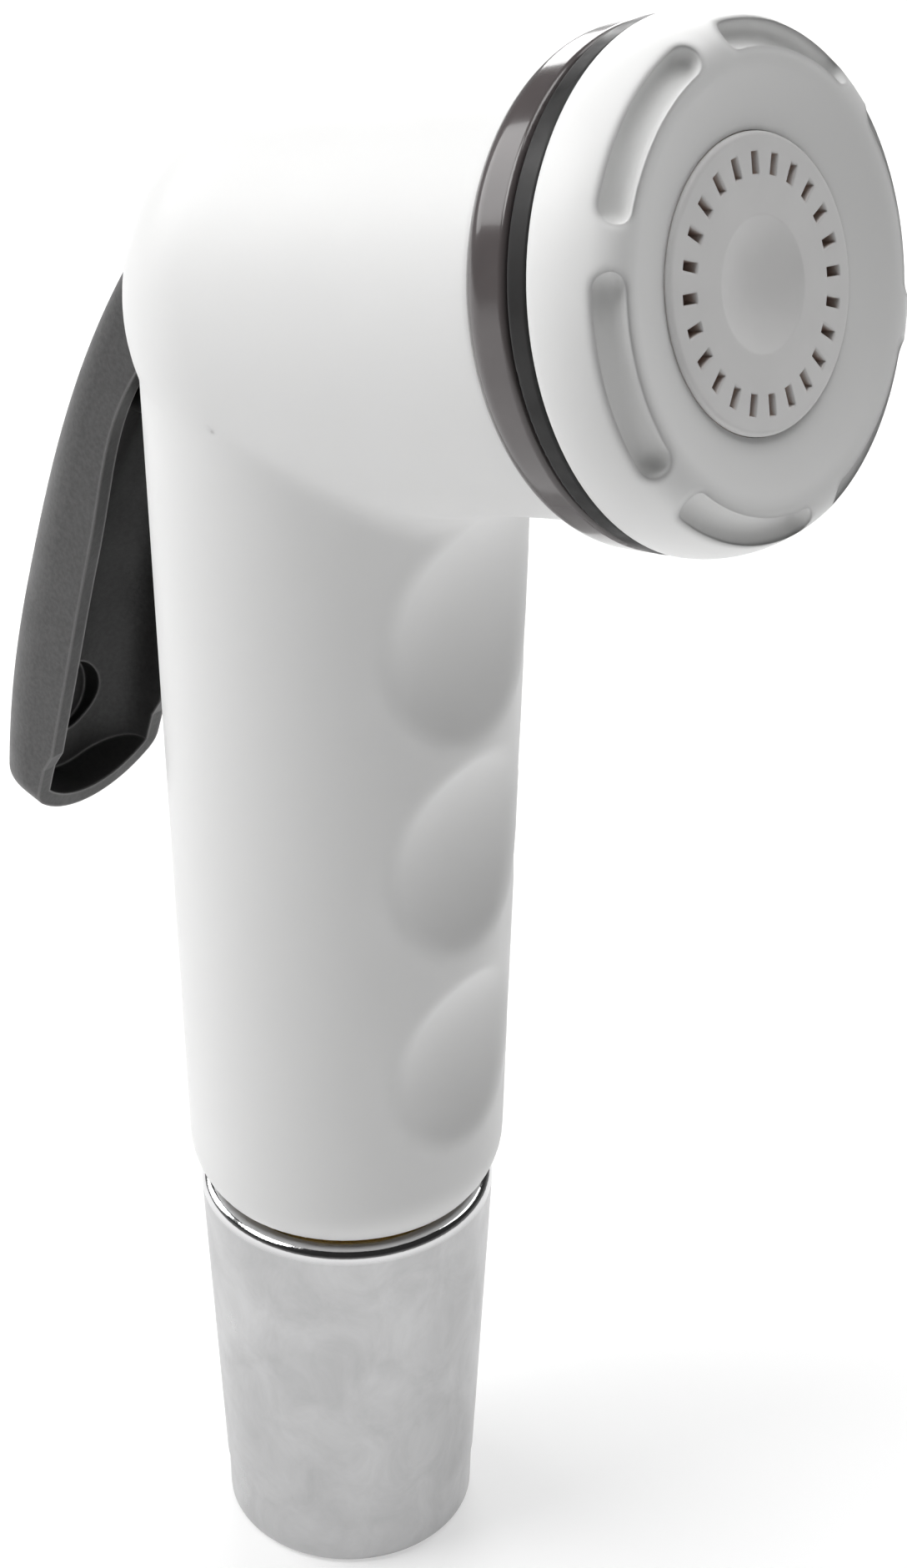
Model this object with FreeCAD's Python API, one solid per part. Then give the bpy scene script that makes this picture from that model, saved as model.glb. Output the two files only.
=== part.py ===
import FreeCAD, Part
import math
import os

# Handheld bidet shower, in millimetres.
# Origin: centre of the conical nut's bottom face. +Z runs up the handle, +X points to the spray side
# and the lever hangs at -X. The XZ plane is the plane of symmetry.
# The spray barrel leans up from +X by SPRAY_TILT. Its own frame has local Z along the spray axis,
# with its zero where that axis crosses the handle's axis.

Vector = FreeCAD.Vector

# Clearances
RUN = 0.05              # radial, between turned parts that slide or turn
NUT_GAP = 0.6           # between the nut's top and the handle

# Conical nut
NUT_FOOT_R = 10.74
NUT_TOP_R = 12.25
NUT_H = 35.6
NUT_RIM = 0.9           # radius of the rounded rim
NUT_FOOT_H = 5.0        # height of the faint ring above the foot
NUT_LINE = 0.12         # depth of that ring
NUT_EDGE = 0.6
BORE_EDGE = 0.5         # chamfers at the nut's two bores
HOSE_BORE_R = 7.5
HOSE_BORE_H = 12.0
HOSE_SEAT_R = 9.3
SEAT_CONE_H = 1.5

# Barrel, outer form and bores
SPRAY_TILT = 15.7       # degrees above +X
BARREL_FRONT_R = 15.3
BARREL_DRAFT = 0.15     # radius gained towards the elbow
BARREL_BACK_R = BARREL_FRONT_R + BARREL_DRAFT
BARREL_END = 26.5
ELBOW_BACK = BARREL_BACK_R - 0.4    # how far the rounded elbow end reaches behind the handle's axis
NECK_STEP = 1.1
NECK_R = BARREL_FRONT_R - NECK_STEP
NECK_END = 31.0
NECK_WALL = 1.6
MOUTH_R = NECK_R - NECK_WALL
MOUTH_BACK = 27.2
MOUTH_STEP = 2.1
CHAMBER_R = MOUTH_R - MOUTH_STEP
CHAMBER_BACK = 14.0
DUCT_R = 5.0
DUCT_BACK = -5.0

# Main heights
HANDLE_BOTTOM = NUT_H + NUT_GAP
HANDLE_LENGTH = 61.05   # from the handle's bottom to the barrel's underside
SPRAY_Z = HANDLE_BOTTOM + HANDLE_LENGTH + BARREL_BACK_R     # where spray axis and handle's axis cross

# Inlet spigot, strainer and washer
SPIGOT_R = 10.3
SPIGOT_END = HANDLE_BOTTOM - 11.2   # height of the spigot's lower end
SPIGOT_LEAD = 0.6
SPIGOT_BORE_R = 5.5
SPIGOT_NECK_R = 8.0
SPIGOT_NECK_H = 11.0
SPIGOT_NECK_EDGE = 0.5
SPIGOT_GROOVE_UP = 5.0  # groove's centre above the shoulder
HOSE_SEAT_TOP = SPIGOT_END - 6.0
STRAINER_R = 7.0
STRAINER_T = 1.8
STRAINER_DEPTH = 3.0
STRAINER_HOLE_R = 0.55
STRAINER_PITCH = 1.9
WASHER_T = 2.0
WASHER_HOLE_R = 6.0
WASHER_SLACK = 0.3

# Handle
HANDLE_BOTTOM_R = 11.8
HANDLE_FOOT_EDGE = 0.6
HANDLE_EDGE_H = 4.1     # height of the rounded lower edge
HANDLE_EDGE_R = 13.03   # radius where that edge meets the cone
HANDLE_INSET = 1.0      # how far the handle's top lies inside the elbow's radius
HANDLE_TOP_R = BARREL_BACK_R - HANDLE_INSET     # radius that the cone has on the spray axis
HANDLE_SLOPE = (HANDLE_TOP_R - HANDLE_EDGE_R) / (SPRAY_Z - HANDLE_BOTTOM - HANDLE_EDGE_H)
HANDLE_BORE_R = 7.5
GRIPS = 3
GRIP_TOP = SPRAY_Z - BARREL_BACK_R - 6.65       # first finger hollow's centre
GRIP_PITCH = 19.2
GRIP_R = 15.4           # hollow's radius in side view
GRIP_ARC_R = 48.0       # hollow's radius across the handle
GRIP_DEPTH = 2.92       # depth of the first hollow
GRIP_FADE = 0.376       # how much shallower each next one is
GRIP_HALF = 11.0
GRIP_EDGE = 2.5
CREASE_R = 3.0          # fillet between the barrel's underside and the handle

# Trim ring, gasket and spray cap, along the spray axis
CAP_PROUD = 2.1         # how far the cap stands out past the barrel
CAP_R = BARREL_FRONT_R + CAP_PROUD
RING_R = CAP_R - 0.25
RING_FRONT = 30.8
RING_LAND = 31.1        # flat that carries the gasket
RING_LAND_R = RING_R - 0.75
RING_EDGE = 0.4
GASKET_R = CAP_R - 0.15
GASKET_HOLE_R = MOUTH_R + 0.4
GASKET_T = 1.65
GASKET_EDGE = 0.3
CAP_SHOULDER = (CAP_R - 0.8, 4.1)   # radius and height above the cap's rear face
CAP_CREST = (CAP_R - 3.8, 5.58)
CAP_EDGE = 0.2
CAP_WALL = 1.2
CAP_RECESS_R = (MOUTH_R + 1.3, CAP_R - 1.6)
CAP_RECESS_DEPTH = 1.9
SKIRT_T = 1.6
SKIRT_BACK = 28.0       # rear end of the cap's screwed skirt
FLUTES = 6
FLUTE_FIRST = 23.5      # degrees from straight up, towards +Y
FLUTE_HALF = 21.0
FLUTE_R = CAP_R - 1.9   # centre line of the finger flutes
FLUTE_UP = 5.0          # height of that line above the cap's rear face
FLUTE_TUBE = 1.08
MOUTH_SEAL_T = 0.8

# Nozzle disc and what backs it
NOZZLE_FLANGE_R = MOUTH_R - SKIRT_T - 2 * RUN
NOZZLE_FLANGE_T = 1.45
NOZZLE_SHOULDER = 1.35
NOZZLE_R = NOZZLE_FLANGE_R - NOZZLE_SHOULDER
NOZZLE_PROUD = 0.4
NOZZLE_EDGE = 0.35
NOZZLE_RECESS = 0.8
CAP_DISH = (NOZZLE_R + RUN, 4.5)
SLOTS = 24
SLOT_FIRST = 9.0
SLOT_LENGTH = 1.43
SLOT_WIDTH = 0.68
SLOT_INNER_R = NOZZLE_R - 2.68
DIMPLE_R = SLOT_INNER_R - 2.47
DIMPLE_DEPTH = 1.0
JET_PLATE_T = 1.4
JET_HOLES = 8
JET_HOLE_R = 0.9
JET_RING_R = NOZZLE_R - 5.05
RETAINER_T = 1.4
RETAINER_HOLE_R = NOZZLE_FLANGE_R - 1.9
RETAINER_NOTCH = 1.6

# Lever. Its points are offsets from the pivot, in X and Z.
PIVOT_X = -9.9
PIVOT_Z = SPRAY_Z - 0.5
PIN_R = 1.0
PIN_SIDE = BARREL_BACK_R * math.sqrt(1 - (PIVOT_X / ELBOW_BACK) ** 2)   # elbow's half width at the pin
PIN_LOW_Y = 2.04 - PIN_SIDE
PIN_HIGH_Y = PIN_SIDE - 1.04
LEVER_BACK = ((-5.9, 1.6), (-18.3, -21.2), (-24.2, -43.7))
LEVER_RIM = ((-8.4, -15.0), (-17.9, -51.4))
LEVER_RIM_CURL = 0.0275      # how the rim curls forward above its straight part
LEVER_TOP = 3.2
LEVER_FOOT = -57.2
LEVER_END = (-18.95, -52.1)  # middle of the rounded lower end
LEVER_END_R = 9.3
LEVER_END_EDGE = 2.2
LEVER_STEP = ((-15.85, -43.9), (-17.1, -45.8), (-19.1, -52.1))  # the rim's step back, low down
LEVER_HALF = ((1.8, 5.8), (-43.7, 7.0))      # height and half width, at the top and low down
LEVER_EDGE = ((1.8, 1.8), (-24.2, 5.4))      # height and radius of the back's rounded edges
LEVER_WALL = 1.35
LEVER_WEB = 2.8
LEVER_HOLLOW_TOP = -5.2
LEVER_BOSS_R = 3.2
LEVER_POST_R = 2.2
SOCKET_DROP = 43.2
SOCKET_R = 3.3
SOCKET_DEPTH = 1.4
MARK_DROP = 27.4
MARK_R = 1.4
MARK_DEPTH = 0.6

# Lever pocket in the elbow
POCKET_HALF = 6.9
POCKET_LOW = SPRAY_Z - 18.7
POCKET_KNEE = SPRAY_Z - 6.7
POCKET_HIGH = SPRAY_Z + 5.5
POCKET_GAP = 0.4        # round the lever's pivot boss

# Valve, along X under the pivot
VALVE_Z = SPRAY_Z - 12.2
HANDLE_BORE_TOP = VALVE_Z - 7.2
VALVE_R = 4.6
VALVE_BLIND_X = 9.5
GLAND_X = -10.6
GLAND_T = 2.0
GLAND_EDGE = 0.3
SEAT_X = 2.4
SLEEVE_BORE_R = 3.0
SLEEVE_BACK_X = -3.6
PORT_X = -1.6
PORT_R = 1.3
OUTLET_R = 1.5
OUTLET_TOP = SPRAY_Z - 4.2
INLET_X = 4.3
INLET_R = 2.2
STEM_R = 1.5
STEM_TIP_R = 2.0
STEM_GAP = 0.1          # between the stem's tip and the lever's post
POST_X = -13.8
STEM_COLLAR_R = 2.3
STEM_COLLAR_T = 0.8
STEM_STUD_R = 1.1
VALVE_WASHER_R = 3.9
VALVE_WASHER_T = 1.5
WASHER_NUT_R = 3.5
WASHER_NUT_T = 0.8
WASHER_NUT_BOSS_R = 1.9
WASHER_NUT_BOSS_T = 0.8
SPRING_R = 2.8
SPRING_WIRE_R = 0.25
SPRING_TURNS = 4
SPANNER_HOLE_R = 0.55
SPANNER_HOLE_AT = 3.1
SPANNER_HOLE_DEPTH = 1.2
ORING_R = 0.7           # section radius of the small rings
ORING_XS = (-5.4, 1.05)
STEM_ORING_BORE_R = 2.9
STEM_ORING_X = -7.9


def point(r, z):
    """A point of a side profile, in the XZ plane."""
    return Vector(r, 0, z)


def outline(start, *steps):
    """Closed wire in the XZ plane. A step is an end point, or a pair of points for an arc."""
    edges = []
    here = start
    for step in steps + (start,):
        if isinstance(step[0], tuple):
            middle, end = step
            edges.append(Part.Arc(point(*here), point(*middle), point(*end)).toShape())
        else:
            end = step
            if end != here:
                edges.append(Part.makeLine(point(*here), point(*end)))
        here = end
    return Part.Wire(edges)


def turned(start, *steps):
    """Solid of revolution about Z from a closed side profile."""
    return Part.Face(outline(start, *steps)).revolve(Vector(0, 0, 0), Vector(0, 0, 1), 360)


def slab(half, start, *steps):
    """Closed XZ outline extruded to +-half in Y."""
    face = Part.Face(outline(start, *steps))
    face.translate(Vector(0, -half, 0))
    return face.extrude(Vector(0, 2 * half, 0))


def disc(radius, low, high, x=0, y=0):
    """Cylinder along Z from low to high."""
    return Part.makeCylinder(radius, high - low, Vector(x, y, low))


def rod_x(radius, low, high, z=VALVE_Z):
    """Cylinder along X from low to high, in the plane of symmetry."""
    return Part.makeCylinder(radius, high - low, Vector(low, 0, z), Vector(1, 0, 0))


def corner_arc(centre, radius, angle):
    """Middle point of a rounded corner, seen from its centre at an angle in degrees."""
    a = math.radians(angle)
    return (centre[0] + radius * math.cos(a), centre[1] + radius * math.sin(a))


def on_spray_axis(shape):
    """Carries a shape from the barrel's own frame into the row's frame."""
    placed = shape.copy()
    placed.rotate(Vector(0, 0, 0), Vector(0, 1, 0), 90 - SPRAY_TILT)
    placed.translate(Vector(0, 0, SPRAY_Z))
    return placed


def on_valve_axis(shape):
    """Carries a shape turned about Z onto the valve's axis, local Z becoming +X."""
    placed = shape.copy()
    placed.rotate(Vector(0, 0, 0), Vector(0, 1, 0), 90)
    placed.translate(Vector(0, 0, VALVE_Z))
    return placed


def ring_section(centre_r, section_r, height):
    """O-ring about Z."""
    return Part.makeTorus(centre_r, section_r, Vector(0, 0, height))


def edges_at(shape, test):
    """Edges whose every vertex and middle pass a test on a point."""
    found = []
    for edge in shape.Edges:
        middle = edge.valueAt((edge.FirstParameter + edge.LastParameter) / 2)
        if all(test(p) for p in [v.Point for v in edge.Vertexes] + [middle]):
            found.append(edge)
    return found


# Conical nut and inlet

def nut_radius(z):
    """Outer radius of the conical nut at a height."""
    return NUT_FOOT_R + (NUT_TOP_R - NUT_FOOT_R) * z / (NUT_H - NUT_RIM)


def make_conical_nut():
    rim_z = NUT_H - NUT_RIM
    rim_centre = (NUT_TOP_R - NUT_RIM, rim_z)
    foot_centre = (NUT_FOOT_R - NUT_EDGE, NUT_EDGE)
    line_z = NUT_FOOT_H
    thread_r = SPIGOT_R + RUN
    return turned(
        (HOSE_BORE_R + BORE_EDGE, 0),
        (foot_centre[0], 0),
        (corner_arc(foot_centre, NUT_EDGE, -45), (NUT_FOOT_R, NUT_EDGE)),
        (nut_radius(line_z) - NUT_LINE, line_z),
        (nut_radius(line_z), line_z + NUT_LINE),
        (NUT_TOP_R, rim_z),
        (corner_arc(rim_centre, NUT_RIM, 45), (rim_centre[0], NUT_H)),
        (thread_r + BORE_EDGE, NUT_H),
        (thread_r, NUT_H - BORE_EDGE),
        (thread_r, HOSE_SEAT_TOP + SEAT_CONE_H),
        (HOSE_SEAT_R, HOSE_SEAT_TOP),
        (HOSE_SEAT_R, HOSE_BORE_H),
        (HOSE_BORE_R, HOSE_BORE_H),
        (HOSE_BORE_R, BORE_EDGE),
    )


def make_inlet_spigot():
    neck_top = HANDLE_BOTTOM + SPIGOT_NECK_H
    body = turned(
        (SPIGOT_BORE_R, SPIGOT_END + STRAINER_DEPTH),
        (STRAINER_R, SPIGOT_END + STRAINER_DEPTH),
        (STRAINER_R, SPIGOT_END),
        (SPIGOT_R - SPIGOT_LEAD, SPIGOT_END),
        (SPIGOT_R, SPIGOT_END + SPIGOT_LEAD),
        (SPIGOT_R, HANDLE_BOTTOM),
        (SPIGOT_NECK_R, HANDLE_BOTTOM),
        (SPIGOT_NECK_R, neck_top - SPIGOT_NECK_EDGE),
        (SPIGOT_NECK_R - SPIGOT_NECK_EDGE, neck_top),
        (SPIGOT_BORE_R, neck_top),
    )
    groove_z = HANDLE_BOTTOM + SPIGOT_GROOVE_UP
    groove = disc(SPIGOT_NECK_R + 1, groove_z - ORING_R, groove_z + ORING_R)
    groove = groove.cut(disc(SPIGOT_NECK_R - 2 * ORING_R, groove_z - 2, groove_z + 2))
    return body.cut(groove)


def make_spigot_oring():
    return ring_section(SPIGOT_NECK_R - ORING_R, ORING_R, HANDLE_BOTTOM + SPIGOT_GROOVE_UP)


def make_inlet_strainer():
    top = SPIGOT_END + STRAINER_DEPTH
    plate = disc(STRAINER_R - RUN, top - STRAINER_T, top)
    holes = []
    rows = int(STRAINER_R // STRAINER_PITCH)
    for row in range(-rows, rows + 1):
        y = row * STRAINER_PITCH * math.sin(math.radians(60))
        shift = STRAINER_PITCH / 2 if row % 2 else 0
        for column in range(-rows, rows + 1):
            x = column * STRAINER_PITCH + shift
            if math.hypot(x, y) < SPIGOT_BORE_R - STRAINER_HOLE_R:
                holes.append(disc(STRAINER_HOLE_R, top - STRAINER_T - 1, top + 1, x, y))
    return plate.cut(Part.makeCompound(holes))


def make_hose_washer():
    washer = disc(SPIGOT_R - WASHER_SLACK, SPIGOT_END - WASHER_T, SPIGOT_END)
    return washer.cut(disc(WASHER_HOLE_R, SPIGOT_END - WASHER_T - 1, SPIGOT_END + 1))


# Handle, elbow and barrel in one moulding

def handle_radius(z):
    """Outer radius of the conical handle at a height."""
    return HANDLE_EDGE_R + HANDLE_SLOPE * (z - HANDLE_BOTTOM - HANDLE_EDGE_H)


def make_handle_form():
    """The cone with its rounded lower edge, an arc that leaves the wall in line with it."""
    corner = (HANDLE_BOTTOM_R, HANDLE_BOTTOM + HANDLE_FOOT_EDGE - 0.2)
    edge_top = HANDLE_BOTTOM + HANDLE_EDGE_H
    rise = edge_top - corner[1]
    run = HANDLE_EDGE_R - corner[0]
    edge_r = (rise ** 2 + run ** 2) / (2 * run)
    edge_middle = corner_arc(
        (HANDLE_EDGE_R - edge_r, edge_top), edge_r, -math.degrees(math.asin(rise / edge_r)) / 2
    )
    return turned(
        (0, HANDLE_BOTTOM),
        (HANDLE_BOTTOM_R - HANDLE_FOOT_EDGE, HANDLE_BOTTOM),
        corner,
        (edge_middle, (HANDLE_EDGE_R, edge_top)),
        (handle_radius(SPRAY_Z), SPRAY_Z),
        (0, SPRAY_Z),
    )


def make_barrel_form():
    """Barrel and rounded elbow end, in the barrel's own frame."""
    barrel = turned(
        (0, 0),
        (BARREL_BACK_R, 0),
        (BARREL_FRONT_R, BARREL_END),
        (0, BARREL_END),
    )
    ball = Part.makeSphere(BARREL_BACK_R)
    squash = FreeCAD.Matrix()
    squash.A33 = ELBOW_BACK / BARREL_BACK_R
    ball = ball.transformGeometry(squash)
    lower_half = Part.makeBox(60, 60, 30, Vector(-30, -30, -30))
    return barrel.fuse(ball.common(lower_half)).removeSplitter()


def make_grip_cutter(height, depth):
    """Barrel-shaped cutter for one finger hollow, its axis along Y."""
    end_r = GRIP_R - (GRIP_ARC_R - math.sqrt(GRIP_ARC_R ** 2 - GRIP_HALF ** 2))
    cutter = turned(
        (0, -GRIP_HALF),
        (end_r, -GRIP_HALF),
        ((GRIP_R, 0), (end_r, GRIP_HALF)),
        (0, GRIP_HALF),
    )
    cutter.rotate(Vector(0, 0, 0), Vector(1, 0, 0), 90)
    cutter.translate(Vector(handle_radius(height) - depth + GRIP_R, 0, height))
    return cutter


def make_pocket():
    """Recess in the back of the elbow that takes the lever's upper end."""
    boss = LEVER_BOSS_R + POCKET_GAP
    return slab(
        POCKET_HALF,
        (-25, POCKET_LOW),
        (-11.2, POCKET_LOW),
        (-10.2, POCKET_KNEE),
        (PIVOT_X + boss, PIVOT_Z - boss),
        (PIVOT_X + boss, PIVOT_Z + boss),
        (-12.0, POCKET_HIGH),
        (-25, POCKET_HIGH),
    )


def half_turn(shape):
    """Turns a revolved shape's seam line to the other side, away from the edges to be rounded."""
    turned_shape = shape.copy()
    turned_shape.rotate(Vector(0, 0, 0), Vector(0, 0, 1), 180)
    return turned_shape


def make_body_shell():
    edge_top = HANDLE_BOTTOM + HANDLE_EDGE_H
    handle = half_turn(make_handle_form())
    barrel = on_spray_axis(half_turn(make_barrel_form()))
    body = handle.fuse(barrel)
    crease = edges_at(
        body, lambda p: p.x > 1 and edge_top < p.z < SPRAY_Z
        and math.hypot(p.x, p.y) < handle_radius(p.z) + 0.1
    )
    body = body.makeFillet(CREASE_R, crease)
    grips = [make_grip_cutter(GRIP_TOP - i * GRIP_PITCH, GRIP_DEPTH - i * GRIP_FADE) for i in range(GRIPS)]
    body = body.cut(Part.makeCompound(grips))
    hollow_edges = edges_at(
        body, lambda p: p.x > HANDLE_EDGE_R - 4 and edge_top < p.z < GRIP_TOP + GRIP_R
    )
    body = body.makeFillet(GRIP_EDGE, hollow_edges)
    neck = on_spray_axis(disc(NECK_R, BARREL_END - 1, NECK_END))
    body = body.fuse(neck)
    body = body.cut(make_pocket())
    spray_side = turned(
        (0, DUCT_BACK),
        (DUCT_R, DUCT_BACK),
        (DUCT_R, CHAMBER_BACK),
        (CHAMBER_R, CHAMBER_BACK),
        (CHAMBER_R, MOUTH_BACK),
        (MOUTH_R, MOUTH_BACK),
        (MOUTH_R, NECK_END + 1),
        (0, NECK_END + 1),
    )
    body = body.cut(on_spray_axis(spray_side))
    inlet = turned(
        (0, HANDLE_BOTTOM - 1),
        (SPIGOT_NECK_R, HANDLE_BOTTOM - 1),
        (SPIGOT_NECK_R, HANDLE_BOTTOM + SPIGOT_NECK_H),
        (HANDLE_BORE_R, HANDLE_BOTTOM + SPIGOT_NECK_H),
        (HANDLE_BORE_R, HANDLE_BORE_TOP),
        (0, HANDLE_BORE_TOP),
    )
    body = body.cut(inlet)
    body = body.cut(rod_x(VALVE_R, GLAND_X - 3, VALVE_BLIND_X))
    body = body.cut(disc(INLET_R, HANDLE_BORE_TOP - 1, VALVE_Z - VALVE_R + 1, INLET_X))
    body = body.cut(disc(OUTLET_R, VALVE_Z + VALVE_R - 1, OUTLET_TOP, PORT_X))
    pin_hole = Part.makeCylinder(
        PIN_R, PIN_HIGH_Y - PIN_LOW_Y + 5, Vector(PIVOT_X, PIN_LOW_Y, PIVOT_Z), Vector(0, 1, 0)
    )
    return body.cut(pin_hole)


def make_pivot_pin():
    pin = Part.makeCylinder(
        PIN_R, PIN_HIGH_Y - PIN_LOW_Y, Vector(PIVOT_X, PIN_LOW_Y, PIVOT_Z), Vector(0, 1, 0)
    )
    return pin


# Lever

def circle_through(a, b, c):
    """Centre and radius of the circle through three points."""
    d = 2 * (a[0] * (b[1] - c[1]) + b[0] * (c[1] - a[1]) + c[0] * (a[1] - b[1]))
    sa = a[0] ** 2 + a[1] ** 2
    sb = b[0] ** 2 + b[1] ** 2
    sc = c[0] ** 2 + c[1] ** 2
    x = (sa * (b[1] - c[1]) + sb * (c[1] - a[1]) + sc * (a[1] - b[1])) / d
    z = (sa * (c[0] - b[0]) + sb * (a[0] - c[0]) + sc * (b[0] - a[0])) / d
    return x, z, math.hypot(a[0] - x, a[1] - z)


def from_pivot(points):
    """Points given as offsets from the pivot, in the row's frame."""
    return [(PIVOT_X + x, PIVOT_Z + z) for x, z in points]


def lever_back_x(z):
    """Back line of the lever, one long arc."""
    cx, cz, radius = circle_through(*from_pivot(LEVER_BACK))
    return cx - math.sqrt(radius ** 2 - (z - cz) ** 2)


def lever_rim_x(z):
    """Rim line of the lever's open side: straight, and curled towards the pivot at its top."""
    (x0, z0), (x1, z1) = from_pivot(LEVER_RIM)
    rim_x = x0 + (x1 - x0) * (z0 - z) / (z0 - z1) + LEVER_RIM_CURL * max(z - z0, 0) ** 2
    return min(rim_x, PIVOT_X)


def along_lever(ends, z):
    """Value that changes evenly between two heights and is constant past them."""
    (z0, value0), (z1, value1) = ends
    share = (PIVOT_Z + z0 - z) / (z0 - z1)
    return value0 + (value1 - value0) * min(max(share, 0), 1)


def lever_section(z, back_x, front_x, half, edge):
    """Level section: straight front and sides, and a back with two rounded corners."""
    x_corner = back_x + edge
    y_corner = half - edge
    cut = edge * math.sqrt(0.5)

    def at(x, y):
        return Vector(x, y, z)

    return Part.Wire([
        Part.makeLine(at(front_x, -half), at(x_corner, -half)),
        Part.Arc(
            at(x_corner, -half), at(x_corner - cut, -y_corner - cut), at(back_x, -y_corner)
        ).toShape(),
        Part.makeLine(at(back_x, -y_corner), at(back_x, y_corner)),
        Part.Arc(
            at(back_x, y_corner), at(x_corner - cut, y_corner + cut), at(x_corner, half)
        ).toShape(),
        Part.makeLine(at(x_corner, half), at(front_x, half)),
        Part.makeLine(at(front_x, half), at(front_x, -half)),
    ])


def lever_loft(top, inset_side, inset_back, reach):
    """Lofted lever form, set in from the outer form by the two insets."""
    sections = []
    stations = 9
    for i in range(stations):
        z = PIVOT_Z + top + (LEVER_FOOT - top) * i / (stations - 1)
        half = along_lever(LEVER_HALF, z) - inset_side
        edge = along_lever(LEVER_EDGE, z) - inset_side
        back_x = lever_back_x(z) + inset_back
        sections.append(lever_section(z, back_x, lever_rim_x(z) + reach, half, max(edge, 0.5)))
    return Part.makeLoft(sections, True, False)


def lever_end_form(inset):
    """Tall form with a round lower end that rounds off the lever's foot."""
    radius = LEVER_END_R - inset
    (x0, z0), (x1, z1) = LEVER_RIM
    end_x, end_z = from_pivot([LEVER_END])[0]
    lean = math.degrees(math.atan2(x0 - x1, z0 - z1))
    half_disc = Part.makeCylinder(radius, 60, Vector(-30, 0, LEVER_END_R), Vector(1, 0, 0))
    box = Part.makeBox(60, 2 * radius, 80, Vector(-30, -radius, LEVER_END_R))
    form = half_disc.fuse(box).removeSplitter()
    form.rotate(Vector(0, 0, 0), Vector(0, 1, 0), lean)
    form.translate(Vector(end_x, 0, end_z))
    return form


def lever_rim_step():
    """Cutter in front of the stepped rim at the lever's lower end."""
    (x0, z0), (x1, z1), (x2, z2) = from_pivot(LEVER_STEP)
    low = z2 - LEVER_END_R
    return slab(LEVER_END_R, (x0 + 8, z0), (x0, z0), (x1, z1), (x2, z2), (x2, low), (x0 + 8, low))


def make_lever():
    outer = lever_loft(LEVER_TOP, 0, 0, 0).common(lever_end_form(0))
    end_x, end_z = from_pivot([LEVER_END])[0]
    step_z = PIVOT_Z + LEVER_STEP[1][1]
    end_edges = edges_at(outer, lambda p: p.z < step_z and p.x < end_x + 0.5)
    end_edges = [edge for edge in end_edges if edge.BoundBox.XMax < lever_rim_x(end_z) - 0.3]
    outer = outer.makeFillet(LEVER_END_EDGE, end_edges)
    hollow = lever_loft(LEVER_HOLLOW_TOP, LEVER_WALL, LEVER_WEB, 6).common(lever_end_form(LEVER_WALL))
    lever = outer.cut(hollow).cut(lever_rim_step())
    half = along_lever(LEVER_HALF, PIVOT_Z)
    boss = Part.makeCylinder(
        LEVER_BOSS_R, 2 * half, Vector(PIVOT_X, -half, PIVOT_Z), Vector(0, 1, 0)
    )
    web_x = lever_back_x(VALVE_Z) + LEVER_WEB / 2
    post = rod_x(LEVER_POST_R, web_x, POST_X)
    lever = lever.fuse(boss).fuse(post)
    bore = Part.makeCylinder(
        PIN_R + RUN, 2 * half + 2, Vector(PIVOT_X, -half - 1, PIVOT_Z), Vector(0, 1, 0)
    )
    lever = lever.cut(bore)
    blind_holes = ((SOCKET_DROP, SOCKET_R, SOCKET_DEPTH), (MARK_DROP, MARK_R, MARK_DEPTH))
    for drop, radius, depth in blind_holes:
        height = PIVOT_Z - drop
        face_x = lever_back_x(height) + LEVER_WEB
        lever = lever.cut(rod_x(radius, face_x - depth, face_x + 3, height))
    return lever


# Valve

def make_valve_cartridge():
    gland_in = GLAND_X + GLAND_T
    sleeve = turned(
        (STEM_R + RUN, gland_in),
        (VALVE_R - RUN, gland_in),
        (VALVE_R - RUN, SEAT_X),
        (SLEEVE_BORE_R, SEAT_X),
        (SLEEVE_BORE_R, SLEEVE_BACK_X),
        (STEM_R + RUN, SLEEVE_BACK_X),
    )
    sleeve = sleeve.cut(disc(STEM_ORING_BORE_R, gland_in - 1, STEM_ORING_X + ORING_R))
    for x in ORING_XS:
        groove = disc(VALVE_R + 1, x - ORING_R, x + ORING_R)
        groove = groove.cut(disc(VALVE_R - 2 * ORING_R, x - 2, x + 2))
        sleeve = sleeve.cut(groove)
    for axis in (Vector(1, 0, 0), Vector(0, 1, 0)):
        port = Part.makeCylinder(PORT_R, 4 * VALVE_R, axis * (-2 * VALVE_R) + Vector(0, 0, PORT_X), axis)
        sleeve = sleeve.cut(port)
    return on_valve_axis(sleeve)


def make_cartridge_orings():
    rings = [ring_section(VALVE_R - ORING_R, ORING_R, x) for x in ORING_XS]
    return on_valve_axis(Part.makeCompound(rings))


def make_stem_oring():
    section = (STEM_ORING_BORE_R - STEM_R) / 2
    return on_valve_axis(ring_section(STEM_R + section, section, STEM_ORING_X))


def make_gland_nut():
    gland = turned(
        (STEM_R + RUN, GLAND_X),
        (VALVE_R - RUN - GLAND_EDGE, GLAND_X),
        (VALVE_R - RUN, GLAND_X + GLAND_EDGE),
        (VALVE_R - RUN, GLAND_X + GLAND_T),
        (STEM_R + RUN, GLAND_X + GLAND_T),
    )
    for side in (-1, 1):
        gland = gland.cut(disc(
            SPANNER_HOLE_R, GLAND_X - 1, GLAND_X + SPANNER_HOLE_DEPTH, 0, side * SPANNER_HOLE_AT
        ))
    return on_valve_axis(gland)


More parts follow.
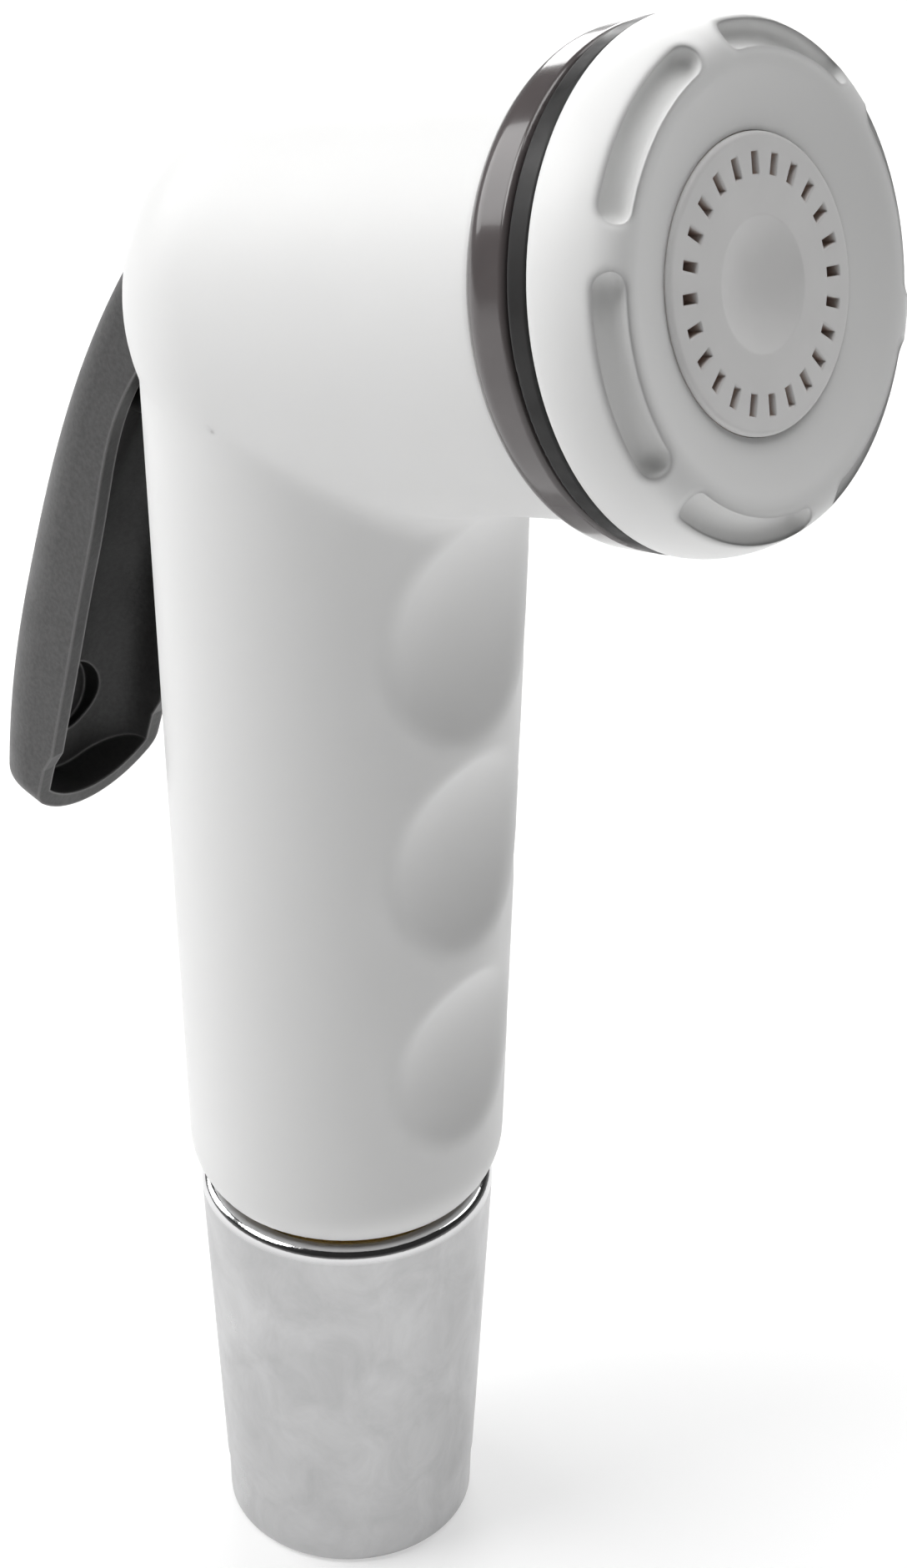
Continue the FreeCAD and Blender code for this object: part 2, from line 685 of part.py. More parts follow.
def make_valve_stem():
    tip_x = POST_X + STEM_GAP
    dome = STEM_TIP_R - math.sqrt(STEM_TIP_R ** 2 - STEM_R ** 2)
    half_angle = math.asin(STEM_R / STEM_TIP_R) / 2
    dome_middle = (
        STEM_TIP_R * math.sin(half_angle),
        tip_x + STEM_TIP_R * (1 - math.cos(half_angle)),
    )
    collar = SEAT_X - STEM_COLLAR_T
    end = SEAT_X + VALVE_WASHER_T + WASHER_NUT_T + WASHER_NUT_BOSS_T
    return on_valve_axis(turned(
        (0, tip_x),
        (dome_middle, (STEM_R, tip_x + dome)),
        (STEM_R, collar),
        (STEM_COLLAR_R, collar),
        (STEM_COLLAR_R, SEAT_X),
        (STEM_STUD_R, SEAT_X),
        (STEM_STUD_R, end),
        (0, end),
    ))


def make_valve_washer():
    washer = disc(VALVE_WASHER_R, SEAT_X, SEAT_X + VALVE_WASHER_T)
    return on_valve_axis(washer.cut(disc(STEM_STUD_R, SEAT_X - 1, SEAT_X + 3)))


def make_washer_nut():
    low = SEAT_X + VALVE_WASHER_T
    nut = disc(WASHER_NUT_R, low, low + WASHER_NUT_T)
    nut = nut.fuse(disc(WASHER_NUT_BOSS_R, low, low + WASHER_NUT_T + WASHER_NUT_BOSS_T))
    return on_valve_axis(nut.cut(disc(STEM_STUD_R, low - 1, low + 3)))


def make_valve_spring():
    """Coil of half rings. Each lies in its own tilted plane, and each ends in line with the next."""
    start = SEAT_X + VALVE_WASHER_T + WASHER_NUT_T + SPRING_WIRE_R
    rise = (VALVE_BLIND_X - SPRING_WIRE_R - start) / (2 * SPRING_TURNS)
    radius = math.hypot(SPRING_R, rise / 2)
    tilt = math.degrees(math.atan2(rise / 2, SPRING_R))
    halves = []
    for i in range(2 * SPRING_TURNS):
        half = Part.makeTorus(radius, SPRING_WIRE_R, Vector(0, 0, 0), Vector(0, 0, 1), 0, 360, 180)
        half.rotate(Vector(0, 0, 0), Vector(0, 1, 0), tilt)
        half.rotate(Vector(0, 0, 0), Vector(0, 0, 1), 180 * (i % 2))
        half.translate(Vector(0, 0, start + rise * (i + 0.5)))
        halves.append(half)
    return on_valve_axis(halves[0].fuse(halves[1:]))


# Trim ring, gasket and spray cap

def make_trim_ring():
    edge = RING_EDGE
    outer_centre = (RING_R - edge, RING_FRONT - edge)
    return on_spray_axis(turned(
        (NECK_R + RUN, BARREL_END),
        (BARREL_FRONT_R, BARREL_END),
        ((BARREL_FRONT_R + 1.15, BARREL_END + 0.75), (RING_R - 0.15, BARREL_END + 2.2)),
        (RING_R, RING_FRONT - edge),
        (corner_arc(outer_centre, edge, 45), (outer_centre[0], RING_FRONT)),
        (RING_LAND_R, RING_FRONT),
        (RING_LAND_R, RING_LAND),
        (NECK_R + RUN, RING_LAND),
    ))


def make_cap_gasket():
    edge = GASKET_EDGE
    low = RING_LAND
    high = RING_LAND + GASKET_T
    return on_spray_axis(turned(
        (GASKET_HOLE_R, low),
        (GASKET_R - edge, low),
        (corner_arc((GASKET_R - edge, low + edge), edge, -45), (GASKET_R, low + edge)),
        (GASKET_R, high - edge),
        (corner_arc((GASKET_R - edge, high - edge), edge, 45), (GASKET_R - edge, high)),
        (GASKET_HOLE_R, high),
    ))


def cap_back():
    """Height of the cap's rear face along the spray axis."""
    return RING_LAND + GASKET_T


def make_flute_cutter(centre_angle):
    """Round-ended finger flute on the cap's shoulder, in the barrel's own frame."""
    height = cap_back() + FLUTE_UP
    tube = Part.makeTorus(
        FLUTE_R, FLUTE_TUBE, Vector(0, 0, height), Vector(0, 0, 1), 0, 360, 2 * FLUTE_HALF
    )
    tube.rotate(Vector(0, 0, 0), Vector(0, 0, 1), -FLUTE_HALF)
    parts = [tube]
    for side in (-1, 1):
        a = math.radians(side * FLUTE_HALF)
        end = Vector(FLUTE_R * math.cos(a), FLUTE_R * math.sin(a), height)
        parts.append(Part.makeSphere(FLUTE_TUBE, end))
    cutter = parts[0].fuse(parts[1:])
    cutter.rotate(Vector(0, 0, 0), Vector(0, 0, 1), 180 - centre_angle)
    return cutter


def make_spray_cap():
    back = cap_back()
    shoulder = (CAP_SHOULDER[0], back + CAP_SHOULDER[1])
    crest = (CAP_CREST[0], back + CAP_CREST[1])
    dish = (CAP_DISH[0], back + CAP_DISH[1])
    skirt_r = MOUTH_R - RUN
    skirt_in = skirt_r - SKIRT_T
    cap = turned(
        (skirt_r, SKIRT_BACK),
        (skirt_r, back),
        (CAP_RECESS_R[0], back),
        (CAP_RECESS_R[0], back + CAP_RECESS_DEPTH),
        (CAP_RECESS_R[1], back + CAP_RECESS_DEPTH),
        (CAP_RECESS_R[1], back),
        (CAP_R - CAP_EDGE, back),
        (CAP_R, back + CAP_EDGE),
        ((CAP_R - 0.16, back + 2.3), shoulder),
        ((CAP_R - 1.65, back + 5.18), crest),
        ((CAP_R - 5.5, back + 4.98), dish),
        (CAP_DISH[0], dish[1] - CAP_WALL),
        (skirt_in, dish[1] - CAP_WALL),
        (skirt_in, SKIRT_BACK),
    )
    cap.rotate(Vector(0, 0, 0), Vector(0, 0, 1), 180 - FLUTE_FIRST - 180 / FLUTES)
    flutes = [make_flute_cutter(FLUTE_FIRST + i * 360 / FLUTES) for i in range(FLUTES)]
    return on_spray_axis(cap.cut(Part.makeCompound(flutes)))


def nozzle_back():
    """Height of the nozzle disc's rear face along the spray axis."""
    return cap_back() + CAP_DISH[1] - CAP_WALL - NOZZLE_FLANGE_T


def make_nozzle_disc():
    low = nozzle_back()
    step = low + NOZZLE_FLANGE_T
    front = cap_back() + CAP_DISH[1] + NOZZLE_PROUD
    edge = NOZZLE_EDGE
    centre = (NOZZLE_R - edge, front - edge)
    nozzle = turned(
        (0, low + NOZZLE_RECESS),
        (SLOT_INNER_R + SLOT_LENGTH + 0.6, low + NOZZLE_RECESS),
        (SLOT_INNER_R + SLOT_LENGTH + 0.6, low),
        (NOZZLE_FLANGE_R, low),
        (NOZZLE_FLANGE_R, step),
        (NOZZLE_R, step),
        (NOZZLE_R, front - edge),
        (corner_arc(centre, edge, 45), (centre[0], front)),
        (0, front),
    )
    ball_r = (DIMPLE_R ** 2 + DIMPLE_DEPTH ** 2) / (2 * DIMPLE_DEPTH)
    dimple = Part.makeSphere(ball_r, Vector(0, 0, front - DIMPLE_DEPTH + ball_r))
    nozzle = nozzle.cut(dimple)
    slots = []
    for i in range(SLOTS):
        slot = Part.makeBox(
            SLOT_LENGTH, SLOT_WIDTH, front - low + 2, Vector(SLOT_INNER_R, -SLOT_WIDTH / 2, low - 1)
        )
        slot.rotate(Vector(0, 0, 0), Vector(0, 0, 1), 180 - SLOT_FIRST - i * 360 / SLOTS)
        slots.append(slot)
    return on_spray_axis(nozzle.cut(Part.makeCompound(slots)))


def make_jet_plate():
    high = nozzle_back()
    plate = disc(NOZZLE_FLANGE_R, high - JET_PLATE_T, high)
    holes = []
    for i in range(JET_HOLES):
        a = 2 * math.pi * i / JET_HOLES
        holes.append(disc(
            JET_HOLE_R, high - JET_PLATE_T - 1, high + 1, JET_RING_R * math.cos(a), JET_RING_R * math.sin(a)
        ))
    return on_spray_axis(plate.cut(Part.makeCompound(holes)))


def make_retaining_ring():
    high = nozzle_back() - JET_PLATE_T
    ring = disc(NOZZLE_FLANGE_R, high - RETAINER_T, high)
    ring = ring.cut(disc(RETAINER_HOLE_R, high - RETAINER_T - 1, high + 1))
    notch = Part.makeBox(
        2 * NOZZLE_FLANGE_R + 2, RETAINER_NOTCH, RETAINER_T,
        Vector(-NOZZLE_FLANGE_R - 1, -RETAINER_NOTCH / 2, high - 1.6 * RETAINER_T)
    )
    return on_spray_axis(ring.cut(notch))


def make_mouth_seal():
    seal = disc(MOUTH_R - RUN, MOUTH_BACK, MOUTH_BACK + MOUTH_SEAL_T)
    return on_spray_axis(seal.cut(disc(CHAMBER_R, MOUTH_BACK - 1, SKIRT_BACK + 1)))


def main():
    os.makedirs("parts", exist_ok=True)
    nodes = {
        "conical_nut": make_conical_nut,
        "inlet_spigot": make_inlet_spigot,
        "spigot_oring": make_spigot_oring,
        "inlet_strainer": make_inlet_strainer,
        "hose_washer": make_hose_washer,
        "body_shell": make_body_shell,
        "pivot_pin": make_pivot_pin,
        "lever": make_lever,
        "valve_cartridge": make_valve_cartridge,
        "cartridge_orings": make_cartridge_orings,
        "stem_oring": make_stem_oring,
        "gland_nut": make_gland_nut,
        "valve_stem": make_valve_stem,
        "valve_washer": make_valve_washer,
        "washer_nut": make_washer_nut,
        "valve_spring": make_valve_spring,
        "trim_ring": make_trim_ring,
        "mouth_seal": make_mouth_seal,
        "cap_gasket": make_cap_gasket,
        "spray_cap": make_spray_cap,
        "nozzle_disc": make_nozzle_disc,
        "jet_plate": make_jet_plate,
        "retaining_ring": make_retaining_ring,
    }
    for name, make in nodes.items():
        shape = make()
        shape.exportStep("parts/" + name + ".step")
        print(name, shape.ShapeType, len(shape.Solids), shape.isValid(), round(shape.Volume, 1))


main()
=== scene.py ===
import math

import bpy
from mathutils import Matrix, Vector


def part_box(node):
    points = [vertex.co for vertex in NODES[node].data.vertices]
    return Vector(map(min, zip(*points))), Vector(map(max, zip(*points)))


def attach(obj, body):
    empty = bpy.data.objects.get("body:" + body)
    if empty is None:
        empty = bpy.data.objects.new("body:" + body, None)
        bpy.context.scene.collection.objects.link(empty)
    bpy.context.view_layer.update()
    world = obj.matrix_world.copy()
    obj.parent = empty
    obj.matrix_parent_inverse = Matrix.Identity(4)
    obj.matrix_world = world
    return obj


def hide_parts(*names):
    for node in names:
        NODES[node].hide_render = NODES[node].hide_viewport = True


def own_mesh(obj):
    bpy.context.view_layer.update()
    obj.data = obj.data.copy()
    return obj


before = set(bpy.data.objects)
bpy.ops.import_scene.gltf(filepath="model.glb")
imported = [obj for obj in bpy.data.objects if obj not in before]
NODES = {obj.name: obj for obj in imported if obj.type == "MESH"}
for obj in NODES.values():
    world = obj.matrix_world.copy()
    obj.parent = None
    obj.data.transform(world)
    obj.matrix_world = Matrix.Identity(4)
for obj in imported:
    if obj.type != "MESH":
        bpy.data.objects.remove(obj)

MM = 0.001
SCENE = bpy.context.scene
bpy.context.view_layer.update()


# Camera, as fitted to the photograph

CAMERA_AT = Vector((136.107, -150.220, 191.592)) * MM
CAMERA_TARGET = Vector((11.233, 0.0, 76.788)) * MM
CAMERA_ROLL = math.radians(0.578)
CAMERA_LENS = 69.04         # millimetres, on a sensor of the height below
CAMERA_SENSOR = 36.0
CAMERA_NEAR = 0.01
CAMERA_FAR = 20.0


def add_camera():
    data = bpy.data.cameras.new("camera")
    data.sensor_fit = "VERTICAL"
    data.sensor_height = CAMERA_SENSOR
    data.lens = CAMERA_LENS
    data.clip_start = CAMERA_NEAR
    data.clip_end = CAMERA_FAR
    camera = bpy.data.objects.new("camera", data)
    SCENE.collection.objects.link(camera)
    aim = (CAMERA_TARGET - CAMERA_AT).to_track_quat("-Z", "Y").to_matrix().to_4x4()
    roll = Matrix.Rotation(CAMERA_ROLL, 4, "Z")
    camera.matrix_world = Matrix.Translation(CAMERA_AT) @ aim @ roll
    SCENE.camera = camera


# Shader building

EDGE_SAMPLES = 6
HOLLOW_SAMPLES = 8


class Shader:
    """A principled material with short calls for the nodes that feed it."""

    def __init__(self, name, color, roughness, metallic=0.0):
        self.material = bpy.data.materials.new(name)
        self.material.use_nodes = True
        self.tree = self.material.node_tree
        self.main = self.tree.nodes["Principled BSDF"]
        self.set(Base_Color=(*color, 1.0), Roughness=roughness, Metallic=metallic)
        self.place = self.node("TexCoord").outputs["Object"]

    def set(self, **values):
        """Sets the material's own inputs. An underscore stands for a space."""
        for name, value in values.items():
            self.main.inputs[name.replace("_", " ")].default_value = value

    def node(self, kind, **values):
        """A new node with its inputs set. An underscore stands for a space."""
        node = self.tree.nodes.new("ShaderNode" + kind)
        for name, value in values.items():
            node.inputs[name.replace("_", " ")].default_value = value
        return node

    def link(self, a, b):
        self.tree.links.new(a, b)

    def noise(self, scale, detail=3.0, roughness=0.5, stretch=None, distortion=0.0):
        """Noise of about so many waves to the metre, times the stretch along each axis."""
        node = self.node("TexNoise", Scale=scale, Detail=detail, Roughness=roughness,
                         Distortion=distortion)
        source = self.place
        if stretch:
            mapping = self.node("Mapping", Scale=stretch)
            self.link(source, mapping.inputs["Vector"])
            source = mapping.outputs["Vector"]
        self.link(source, node.inputs["Vector"])
        return node.outputs["Fac"]

    def spread(self, source, low, high, start=0.3, end=0.7):
        """Maps the range from start to end to the one from low to high."""
        node = self.node("MapRange", From_Min=start, From_Max=end, To_Min=low, To_Max=high)
        self.link(source, node.inputs["Value"])
        return node.outputs["Result"]

    def ramp(self, source, *stops):
        """Colours along a value. A stop is a position and a colour."""
        node = self.node("ValToRGB")
        for element, (position, color) in zip(node.color_ramp.elements, stops, strict=True):
            element.position = position
            element.color = (*color, 1.0)
        self.link(source, node.inputs["Fac"])
        return node.outputs["Color"]

    def mottle(self, color, scale, dark, light=1.0):
        """A colour that wanders between two shares of itself."""
        return self.ramp(self.noise(scale), (0.3, shade(color, dark)), (0.7, shade(color, light)))

    def color(self, source):
        self.link(source, self.main.inputs["Base Color"])

    def rough(self, source):
        self.link(source, self.main.inputs["Roughness"])

    def uneven_gloss(self, scale, low, high):
        """Roughness that wanders between two values."""
        self.rough(self.spread(self.noise(scale), low, high))

    def rounded(self, radius):
        """The normal as if sharp edges were rounded."""
        node = self.node("Bevel", Radius=radius)
        node.samples = EDGE_SAMPLES
        return node.outputs["Normal"]

    def open_share(self, distance):
        """Ambient occlusion node: how open the surface is within a distance."""
        node = self.node("AmbientOcclusion", Distance=distance)
        node.samples = HOLLOW_SAMPLES
        return node

    def color_mix(self, blend_type="MIX"):
        node = self.node("Mix")
        node.data_type = "RGBA"
        node.blend_type = blend_type
        return node

    def soften(self, radius):
        """Rounds the look of sharp edges. It goes before the bumps."""
        self.link(self.rounded(radius), self.main.inputs["Normal"])

    def painted_shade_in_hollows(self, source, distance):
        """Paints shade into a colour where the surface is shut in."""
        mix = self.color_mix("MULTIPLY")
        mix.inputs["Factor"].default_value = 1.0
        self.link(source, mix.inputs["A"])
        self.link(self.open_share(distance).outputs["Color"], mix.inputs["B"])
        return mix.outputs["Result"]

    def painted_shade_share(self, distance):
        """Share of painted shade: 1 deep in slots and gaps, 0 in the open."""
        openness = self.open_share(distance).outputs["AO"]
        return self.spread(openness, 1.0, 0.0, start=0.05, end=0.4)

    def painted_edge_highlight(self, radius):
        """Mask for a painted highlight: 1 along sharp edges, 0 elsewhere."""
        both = self.node("VectorMath")
        both.operation = "DOT_PRODUCT"
        self.link(self.rounded(radius), both.inputs[0])
        self.link(self.node("NewGeometry").outputs["Normal"], both.inputs[1])
        return self.spread(both.outputs["Value"], 1.0, 0.0, start=0.8, end=0.99)

    def blend(self, share, source, color):
        """Blends a colour from a node towards a plain one."""
        mix = self.color_mix()
        mix.inputs["B"].default_value = (*color, 1.0)
        self.link(share, mix.inputs["Factor"])
        self.link(source, mix.inputs["A"])
        return mix.outputs["Result"]

    def height(self):
        """Height above the object's foot, in metres."""
        node = self.node("SeparateXYZ")
        self.link(self.place, node.inputs["Vector"])
        return node.outputs["Z"]

    def away(self):
        """Distance from the object's origin, in metres."""
        node = self.node("VectorMath")
        node.operation = "LENGTH"
        self.link(self.place, node.inputs[0])
        return node.outputs["Value"]

    def bump(self, source, distance, strength):
        node = self.node("Bump", Distance=distance, Strength=strength)
        self.link(source, node.inputs["Height"])
        chain = self.main.inputs["Normal"]
        if chain.links:
            self.link(chain.links[0].from_socket, node.inputs["Normal"])
        self.link(node.outputs["Normal"], chain)

    def grain(self, scale, distance, strength):
        """Fine bumps all over, about so many to the metre."""
        self.bump(self.noise(scale, detail=2), distance, strength)


def shade(color, factor):
    return tuple(channel * factor for channel in color)


# Materials

RIM_FOOT = 34.3 * MM        # height at which the nut's polished rim starts
RIM_BLEND = 0.6 * MM
RIM_ROUGHNESS = 0.1


def satin_white(name, color, roughness, edge):
    """White moulding with the faint unevenness of a moulded skin."""
    s = Shader(name, color, roughness)
    s.set(Specular_IOR_Level=0.3)
    s.soften(edge)
    slow = s.noise(45)
    s.color(s.ramp(slow, (0.35, shade(color, 0.985)), (0.65, color)))
    s.uneven_gloss(160, roughness - 0.04, roughness + 0.05)
    s.grain(900, 0.01 * MM, 0.5)
    s.bump(slow, 0.12 * MM, 0.35)
    return s.material


def satin_dark(name, color, roughness):
    """Dark moulding with a fine spark-eroded grain, painted shade in its hollows and painted
    highlights along its edges.
    """
    s = Shader(name, color, roughness)
    s.set(Specular_IOR_Level=0.32)
    s.soften(0.2 * MM)
    grain = s.noise(2600, roughness=0.6)
    tone = s.ramp(grain, (0.35, shade(color, 0.84)), (0.65, shade(color, 1.16)))
    # Painted shade: the colour is darkened where the surface is shut in within 20 mm.
    tone = s.painted_shade_in_hollows(tone, 20 * MM)
    # Painted highlight: sharp edges are painted lighter, at 3.2 times the colour.
    s.color(s.blend(s.painted_edge_highlight(0.45 * MM), tone, shade(color, 3.2)))
    s.uneven_gloss(240, roughness - 0.06, roughness + 0.06)
    s.bump(grain, 0.03 * MM, 0.7)
    return s.material


def cloudy_chrome(name, cone_color, rim_color):
    """Soft polished chrome plate: clear on the rim, clouded by handling on the cone."""
    s = Shader(name, cone_color, 0.3, metallic=1.0)
    cloud = s.noise(210, detail=6, roughness=0.66, stretch=(1, 1, 0.75), distortion=0.7)
    cone = s.ramp(cloud, (0.3, shade(cone_color, 0.88)), (0.7, shade(cone_color, 1.08)))
    polish = s.spread(s.height(), 0.0, 1.0, RIM_FOOT, RIM_FOOT + RIM_BLEND)
    s.color(s.blend(polish, cone, rim_color))
    rough = s.node("Mix")
    rough.inputs["B"].default_value = RIM_ROUGHNESS
    s.link(polish, rough.inputs["Factor"])
    smears = s.noise(180, detail=4, roughness=0.6, stretch=(1, 1, 0.5))
    s.link(s.spread(smears, 0.26, 0.42), rough.inputs["A"])
    s.rough(rough.outputs["Result"])
    s.grain(1400, 0.004 * MM, 0.4)
    s.bump(cloud, 0.12 * MM, 0.35)
    return s.material


def slotted_grey(name, color, painted_slot_shade):
    """Soft grey disc with brownish painted shade down in its slots and gaps."""
    s = Shader(name, color, 0.5)
    s.soften(0.3 * MM)
    # Painted shade: deep in slots and gaps the colour turns to a dark brownish grey.
    s.color(s.blend(s.painted_shade_share(1.6 * MM), s.mottle(color, 180, 0.94), painted_slot_shade))
    s.uneven_gloss(400, 0.44, 0.56)
    s.grain(1500, 0.01 * MM, 0.5)
    return s.material


def turned_metal(name, color, roughness, ring_stretch):
    """Turned metal with fine tool rings across its axis."""
    s = Shader(name, color, roughness, metallic=1.0)
    s.color(s.mottle(color, 150, 0.86))
    s.uneven_gloss(300, roughness - 0.06, roughness + 0.1)
    s.bump(s.noise(1.0, detail=2, stretch=ring_stretch), 0.01 * MM, 0.5)
    return s.material


def soft_rubber(name, color, light_color):
    s = Shader(name, color, 0.5)
    s.set(Specular_IOR_Level=0.3)
    s.soften(0.2 * MM)
    s.color(s.ramp(s.noise(220), (0.3, color), (0.7, light_color)))
    s.uneven_gloss(500, 0.38, 0.6)
    s.grain(1800, 0.01 * MM, 0.6)
    return s.material


def gloss_dark(name, color):
    """Dark moulding with a clear coat."""
    s = Shader(name, color, 0.16)
    s.set(Specular_IOR_Level=0.4, Coat_Weight=0.3, Coat_Roughness=0.05)
    s.soften(0.2 * MM)
    s.color(s.mottle(color, 140, 0.85, 1.15))
    s.bump(s.noise(260), 0.02 * MM, 0.25)
    return s.material


def plain_moulding(name, color, roughness):
    """Small inner moulding."""
    s = Shader(name, color, roughness)
    s.soften(0.15 * MM)
    s.color(s.mottle(color, 180, 0.93))
    s.uneven_gloss(400, roughness - 0.06, roughness + 0.06)
    s.grain(1500, 0.01 * MM, 0.5)
    return s.material


BRASS = (0.72, 0.54, 0.24)
STEEL = (0.62, 0.62, 0.63)

# Waves to the metre along X, Y and Z in the tool rings of pieces turned about Z and about X
RINGS_UP = (60, 60, 5200)
RINGS_ALONG = (5200, 60, 60)


def make_materials():
    return {
        "white": satin_white("white_plastic", (0.74, 0.74, 0.736), 0.42, 1.2 * MM),
        "cap": satin_white("cap_plastic", (0.775, 0.775, 0.77), 0.42, 0.9 * MM),
        "nozzle": slotted_grey("grey_plastic", (0.78, 0.775, 0.77), painted_slot_shade=(0.4, 0.25, 0.18)),
        "dark": satin_dark("dark_plastic", (0.066, 0.065, 0.065), 0.46),
        "ring": gloss_dark("dark_gloss", (0.08, 0.07, 0.07)),
        "chrome": cloudy_chrome("chrome", (0.49, 0.49, 0.493), rim_color=(0.68, 0.68, 0.685)),
        "brass_up": turned_metal("brass", BRASS, 0.25, RINGS_UP),
        "brass_along": turned_metal("brass_valve", BRASS, 0.25, RINGS_ALONG),
        "steel": turned_metal("steel", STEEL, 0.22, RINGS_ALONG),
        "rubber": soft_rubber("seal_rubber", (0.010, 0.010, 0.010), (0.018, 0.017, 0.017)),
        "acetal": plain_moulding("filter_plastic", (0.78, 0.78, 0.76), 0.45),
        "brown": plain_moulding("brown_plastic", (0.36, 0.13, 0.06), 0.5),
    }


NODE_MATERIALS = {
    "conical_nut": "chrome", "inlet_spigot": "brass_up", "spigot_oring": "rubber",
    "inlet_strainer": "acetal", "hose_washer": "rubber", "body_shell": "white",
    "pivot_pin": "steel", "lever": "dark", "valve_cartridge": "brass_along",
    "cartridge_orings": "rubber", "stem_oring": "rubber", "gland_nut": "brass_along",
    "valve_stem": "steel", "valve_washer": "rubber", "washer_nut": "brass_along",
    "valve_spring": "steel", "trim_ring": "ring", "mouth_seal": "rubber",
    "cap_gasket": "rubber", "spray_cap": "cap", "nozzle_disc": "nozzle",
    "jet_plate": "brown", "retaining_ring": "acetal",
}


def dress_nodes(materials):
    for node, key in NODE_MATERIALS.items():
        mesh = NODES[node].data
        mesh.materials.clear()
        mesh.materials.append(materials[key])


# Valve spring, a closed-end coil that in the real valve shortens as the lever pushes the stem in;
# here it is built at one length

SPRING_WIRE_R = 0.25 * MM
SPRING_TURNS = 5
SPRING_END_TURNS = 0.75     # turns that lie close at each end
TURN_STEPS = 28
WIRE_SIDES = 12


def spring_line(low, high):
    """Centre line of the wire between two corners of the coil's box, and the height of its axis."""
    radius = (high.y - low.y) / 2 - SPRING_WIRE_R
    middle_z = (low.z + high.z) / 2
    start = low.x + SPRING_WIRE_R
    length = high.x - low.x - 2 * SPRING_WIRE_R
    close = 2 * SPRING_WIRE_R * SPRING_END_TURNS
    open_turns = SPRING_TURNS - 2 * SPRING_END_TURNS
    points = []
    for i in range(SPRING_TURNS * TURN_STEPS + 1):
        turn = i / TURN_STEPS
        first = min(turn, SPRING_END_TURNS)
        last = max(turn - SPRING_TURNS + SPRING_END_TURNS, 0)
        share = (turn - first - last) / open_turns
        along = start + (first + last) * 2 * SPRING_WIRE_R + share * (length - 2 * close)
        a = math.tau * turn
        points.append(Vector((along, radius * math.cos(a), middle_z + radius * math.sin(a))))
    return points, middle_z


def wire_mesh(line, middle_z):
    """Round wire along the spring's centre line, closed at both ends."""
    corners = []
    for i, centre in enumerate(line):
        ahead = (line[min(i + 1, len(line) - 1)] - line[max(i - 1, 0)]).normalized()
        outward = (centre - Vector((centre.x, 0, middle_z))).normalized()
        across = ahead.cross(outward).normalized()
        for k in range(WIRE_SIDES):
            a = math.tau * k / WIRE_SIDES
            corners.append(centre + SPRING_WIRE_R * (math.cos(a) * outward + math.sin(a) * across))
    faces = [list(range(WIRE_SIDES))]
    for i in range(len(line) - 1):
        for k in range(WIRE_SIDES):
            here, there = i * WIRE_SIDES, (i + 1) * WIRE_SIDES
            step = (k + 1) % WIRE_SIDES
            faces.append((here + k, there + k, there + step, here + step))
    faces.append([len(corners) - 1 - k for k in range(WIRE_SIDES)])
    mesh = bpy.data.meshes.new("coil")
    mesh.from_pydata(corners, [], faces)
    mesh.shade_smooth()
    return mesh


def make_spring(material):
    low, high = (Vector(corner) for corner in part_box("valve_spring"))
    line, middle_z = spring_line(low, high)
    mesh = wire_mesh(line, middle_z)
    mesh.materials.append(material)
    coil = bpy.data.objects.new("coil", mesh)
    SCENE.collection.objects.link(coil)
    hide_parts("valve_spring")
    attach(coil, "handset")
    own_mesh(coil)


# Studio

FLOOR_RADIUS = 6.0
FLOOR_SIDES = 96
FLOOR_DROP = 0.1 * MM       # keeps the floor clear of the nut's foot
FLOOR_GREY = 0.55

# Painted light: glow of the floor near the object and far off, which lifts the object's shadow, and
# the distances between which it fades
FLOOR_PAINTED_GLOW = (0.47, 0.19)
FLOOR_POOL = (0.4, 1.5)

# Softboxes round the object, all at one distance from it: name, direction in degrees counted
# from the camera towards its left, height in degrees, and power in watts
SOFTBOXES = (
    ("top", 0, 90, 4.7),
    ("left_high", 80, 48, 6.3),
    ("left_low", 118, 24, 3.0),
    ("back_low", 180, 20, 4.4),
    ("back_right", 230, 50, 2.8),
)
SOFTBOX_SIZE = 0.6
SOFTBOX_AWAY = 1.0
SOFTBOX_TARGET = Vector((0.0, 0.0, 80.0)) * MM

# Backdrop: at the horizon as grey as the far floor, and dim higher up. A stop is the sine of
# the height, and the grey.
BACKDROP = ((0.0, 0.22), (0.4, 0.03))


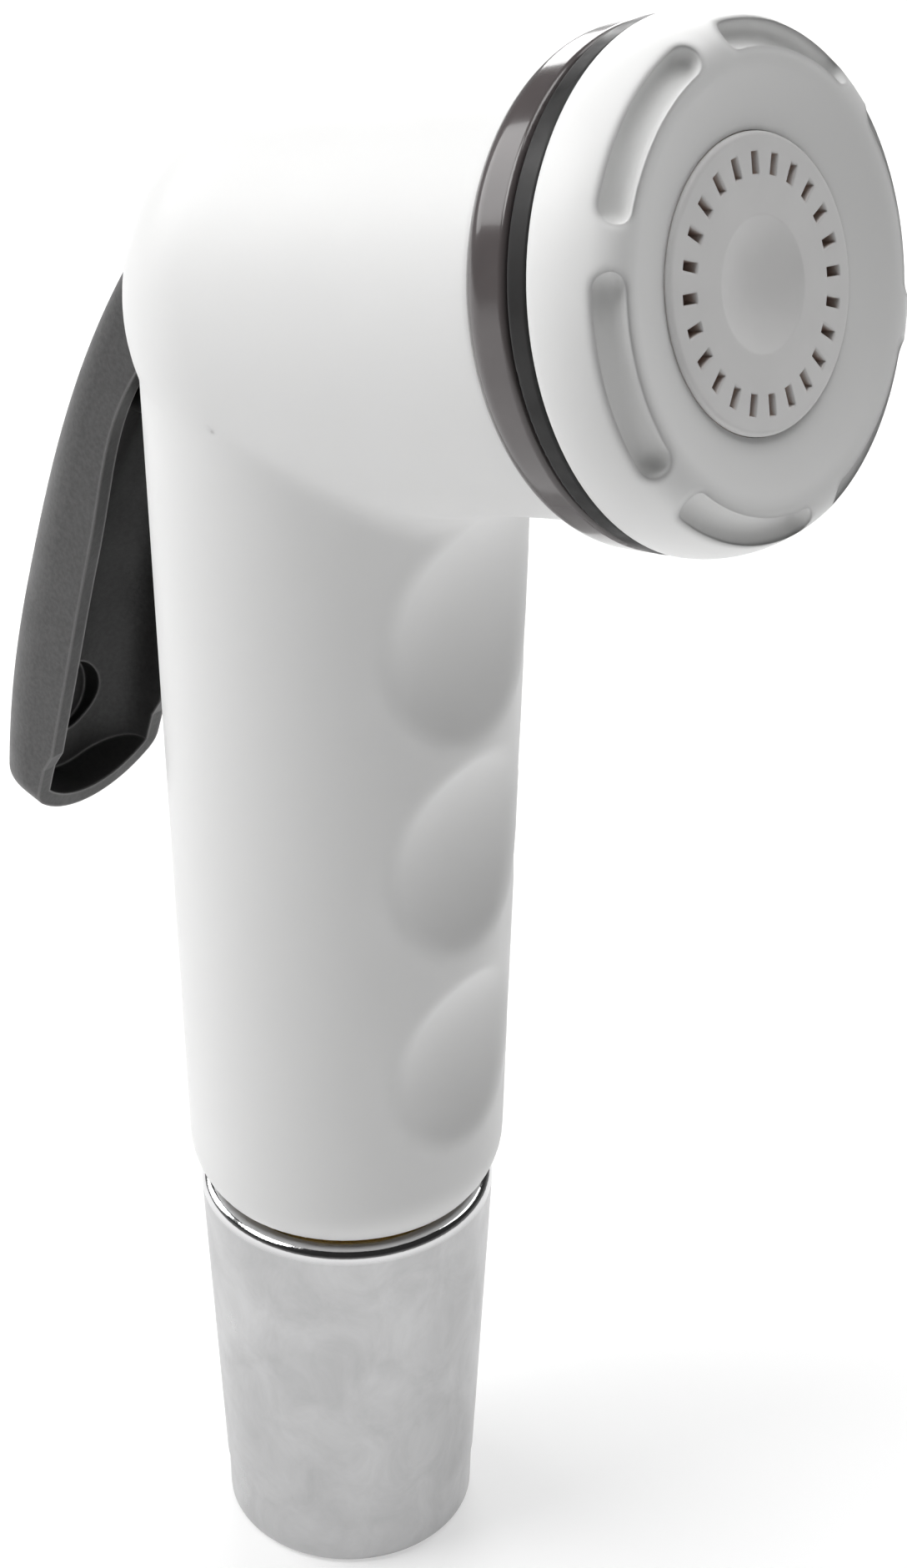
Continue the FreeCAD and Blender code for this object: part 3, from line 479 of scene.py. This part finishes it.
def add_floor():
    bpy.ops.mesh.primitive_circle_add(
        vertices=FLOOR_SIDES, radius=FLOOR_RADIUS, fill_type="NGON", location=(0, 0, -FLOOR_DROP))
    floor = bpy.context.object
    floor.name = "floor"
    s = Shader("floor", (FLOOR_GREY,) * 3, 0.9)
    s.set(Specular_IOR_Level=0.1, Emission_Color=(1, 1, 1, 1))
    # Painted light: the floor glows brighter round the object than far off.
    s.link(s.spread(s.away(), *FLOOR_PAINTED_GLOW, *FLOOR_POOL), s.main.inputs["Emission Strength"])
    floor.data.materials.append(s.material)


def add_softboxes():
    camera_side = CAMERA_AT - CAMERA_TARGET
    camera_turn = math.atan2(camera_side.y, camera_side.x)
    for name, turn, height, power in SOFTBOXES:
        a = camera_turn - math.radians(turn)
        e = math.radians(height)
        way = Vector((math.cos(a) * math.cos(e), math.sin(a) * math.cos(e), math.sin(e)))
        data = bpy.data.lights.new(name, "AREA")
        data.shape = "DISK"
        data.size = SOFTBOX_SIZE
        data.energy = power
        light = bpy.data.objects.new(name, data)
        light.location = SOFTBOX_TARGET + way * SOFTBOX_AWAY
        light.rotation_euler = (-way).to_track_quat("-Z", "Y").to_euler()
        SCENE.collection.objects.link(light)


def add_backdrop():
    world = bpy.data.worlds.new("studio")
    world.use_nodes = True
    tree = world.node_tree
    way = tree.nodes.new("ShaderNodeTexCoord")
    split = tree.nodes.new("ShaderNodeSeparateXYZ")
    fade = tree.nodes.new("ShaderNodeValToRGB")
    fade.color_ramp.interpolation = "EASE"
    for element, (position, grey) in zip(fade.color_ramp.elements, BACKDROP, strict=True):
        element.position = position
        element.color = (grey, grey, grey, 1.0)
    tree.links.new(way.outputs["Generated"], split.inputs["Vector"])
    tree.links.new(split.outputs["Z"], fade.inputs["Fac"])
    tree.links.new(fade.outputs["Color"], tree.nodes["Background"].inputs["Color"])
    SCENE.world = world
    SCENE.view_settings.view_transform = "Standard"
    SCENE.view_settings.look = "None"


add_camera()
MATERIALS = make_materials()
dress_nodes(MATERIALS)
make_spring(MATERIALS["steel"])
add_floor()
add_softboxes()
add_backdrop()
